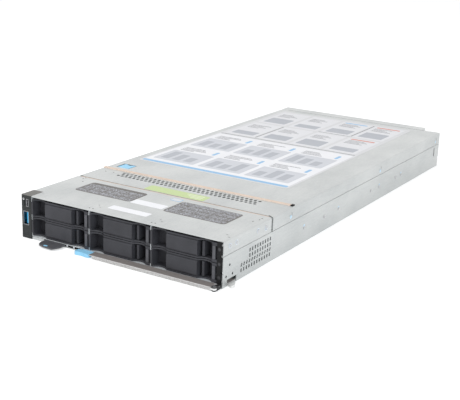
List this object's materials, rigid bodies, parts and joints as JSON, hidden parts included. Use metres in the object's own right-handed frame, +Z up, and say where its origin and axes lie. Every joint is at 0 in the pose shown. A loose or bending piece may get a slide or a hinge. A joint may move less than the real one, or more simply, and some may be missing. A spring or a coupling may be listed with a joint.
{
  "type": "server compute sled",
  "caption": "Long flat compute sled with a lift-off cover, plain pull-out bay modules at the front, a swing-out release lever, a pull-out tag and two processors inside.",
  "frame": {"origin": "middle of the flat underside of the body", "axes": "+Z up, -Y towards the front with the bays, +X to the right as seen from the front"},
  "size_m": [0.2574, 0.6005, 0.0481],
  "materials": {
    "sheet_steel": "zinc-plated sheet with a fine matt grain",
    "cage_steel": "thin plated sheet",
    "black_plastic": "moulded, fine texture",
    "panel_plastic": "moulded, fine texture",
    "module_plastic": "moulded, fine texture, satin",
    "latch_plastic": "moulded, satin",
    "blue_plastic": "moulded pale blue touch point",
    "port_blue": "moulded insulator",
    "port_shell": "plated shell",
    "circuit_board": "laminate with green mask",
    "memory_board": "laminate with green mask",
    "connector_black": "moulded",
    "fin_aluminium": "mill finish",
    "processor_lid": "nickel-plated lid",
    "lever_metal": "brushed, ribbed front",
    "bracket_black": "black coating",
    "pin_steel": "bright plated",
    "dark_screw": "dark coating",
    "tag_plastic": "moulded, fine texture",
    "gasket_tan": "woven conductive cover over foam",
    "gasket_black": "soft cap",
    "duct_plastic": "thin moulding"
  },
  "bodies": {
    "chassis": {"chassis_base": "sheet_steel", "front_top_plate": "sheet_steel", "drive_cage": "cage_steel", "right_bezel": "black_plastic", "bezel_screws": "dark_screw", "control_panel": "panel_plastic", "control_board": "circuit_board", "usb_port": "port_shell", "usb_tongue": "port_blue", "micro_usb_port": "port_shell", "drive_backplane": "circuit_board", "backplane_connectors": "connector_black", "tag_guide": "black_plastic", "lever_bracket": "bracket_black", "lever_pivot_pin": "pin_steel", "seam_gasket": "gasket_tan", "system_board": "circuit_board", "board_screws": "pin_steel", "cpu_sockets": "connector_black", "processor_1": "processor_lid", "processor_2": "processor_lid", "heatsink_1": "fin_aluminium", "heatsink_2": "fin_aluminium", "heatsink_screws": "pin_steel", "memory_sockets": "connector_black", "memory_front": "memory_board", "memory_rear": "memory_board", "air_shroud": "duct_plastic", "fabric_card_a": "circuit_board", "fabric_card_b": "circuit_board", "fabric_connectors": "connector_black", "power_connector": "connector_black", "boot_module": "circuit_board", "management_card": "circuit_board", "battery_holder": "connector_black", "coin_cell": "pin_steel", "rear_shroud": "sheet_steel", "side_rivets": "pin_steel"},
    "cover": {"system_cover": "sheet_steel", "emi_gasket_bar": "gasket_tan", "gasket_end_cap": "gasket_black", "cover_latch_pin": "pin_steel"},
    "cover_handle": {"cover_latch": "blue_plastic"},
    "lever": {"release_lever": "lever_metal"},
    "lever_catch": {"lever_latch": "blue_plastic"},
    "tag": {"info_tag": "tag_plastic"},
    "button": {"power_button": "panel_plastic"},
    "module_1": {"bay_blank_1": "module_plastic"},
    "module_1_latch": {"bay_latch_1": "latch_plastic"},
    "module_2": {"bay_blank_2": "module_plastic"},
    "module_2_latch": {"bay_latch_2": "latch_plastic"},
    "module_3": {"bay_blank_3": "module_plastic"},
    "module_3_latch": {"bay_latch_3": "latch_plastic"},
    "module_4": {"bay_blank_4": "module_plastic"},
    "module_4_latch": {"bay_latch_4": "latch_plastic"},
    "module_5": {"bay_blank_5": "module_plastic"},
    "module_5_latch": {"bay_latch_5": "latch_plastic"},
    "module_6": {"bay_blank_6": "module_plastic"},
    "module_6_latch": {"bay_latch_6": "latch_plastic"}
  },
  "joints": [
    {"name": "cover_lift", "type": "slide", "parent": "chassis", "child": "cover", "axis": [0, 0, 1], "range_m": [0, 0.12]},
    {"name": "cover_latch_turn", "type": "hinge", "parent": "cover", "child": "cover_handle", "pos_m": [-0.1065, -0.134, 0.0456], "axis": [1, 0, 0], "range_deg": [0, 80]},
    {"name": "lever_turn", "type": "hinge", "parent": "chassis", "child": "lever", "pos_m": [0.121, -0.2915, 0.0022], "axis": [0, 0, 1], "range_deg": [0, 70]},
    {"name": "lever_latch_slide", "type": "slide", "parent": "chassis", "child": "lever_catch", "axis": [-1, 0, 0], "range_m": [0, 0.004], "stiffness_N_per_m": 500},
    {"name": "tag_slide", "type": "slide", "parent": "chassis", "child": "tag", "axis": [0, -1, 0], "range_m": [0, 0.045]},
    {"name": "power_button_press", "type": "slide", "parent": "chassis", "child": "button", "axis": [0, 1, 0], "range_m": [0, 0.001], "stiffness_N_per_m": 1000},
    {"name": "module_1_slide", "type": "slide", "parent": "chassis", "child": "module_1", "axis": [0, -1, 0], "range_m": [0, 0.11]},
    {"name": "module_1_squeeze", "type": "hinge", "parent": "module_1", "child": "module_1_latch", "pos_m": [-0.03885, -0.2615, 0.0141], "axis": [0, 0, -1], "range_deg": [0, 8], "stiffness_Nm_per_rad": 0.08},
    {"name": "module_2_slide", "type": "slide", "parent": "chassis", "child": "module_2", "axis": [0, -1, 0], "range_m": [0, 0.11]},
    {"name": "module_2_squeeze", "type": "hinge", "parent": "module_2", "child": "module_2_latch", "pos_m": [0.03775, -0.2615, 0.0141], "axis": [0, 0, -1], "range_deg": [0, 8], "stiffness_Nm_per_rad": 0.08},
    {"name": "module_3_slide", "type": "slide", "parent": "chassis", "child": "module_3", "axis": [0, -1, 0], "range_m": [0, 0.11]},
    {"name": "module_3_squeeze", "type": "hinge", "parent": "module_3", "child": "module_3_latch", "pos_m": [0.11435, -0.2615, 0.0141], "axis": [0, 0, -1], "range_deg": [0, 8], "stiffness_Nm_per_rad": 0.08},
    {"name": "module_4_slide", "type": "slide", "parent": "chassis", "child": "module_4", "axis": [0, -1, 0], "range_m": [0, 0.11]},
    {"name": "module_4_squeeze", "type": "hinge", "parent": "module_4", "child": "module_4_latch", "pos_m": [-0.03885, -0.2615, 0.0343], "axis": [0, 0, -1], "range_deg": [0, 8], "stiffness_Nm_per_rad": 0.08},
    {"name": "module_5_slide", "type": "slide", "parent": "chassis", "child": "module_5", "axis": [0, -1, 0], "range_m": [0, 0.11]},
    {"name": "module_5_squeeze", "type": "hinge", "parent": "module_5", "child": "module_5_latch", "pos_m": [0.03775, -0.2615, 0.0343], "axis": [0, 0, -1], "range_deg": [0, 8], "stiffness_Nm_per_rad": 0.08},
    {"name": "module_6_slide", "type": "slide", "parent": "chassis", "child": "module_6", "axis": [0, -1, 0], "range_m": [0, 0.11]},
    {"name": "module_6_squeeze", "type": "hinge", "parent": "module_6", "child": "module_6_latch", "pos_m": [0.11435, -0.2615, 0.0343], "axis": [0, 0, -1], "range_deg": [0, 8], "stiffness_Nm_per_rad": 0.08}
  ]
}
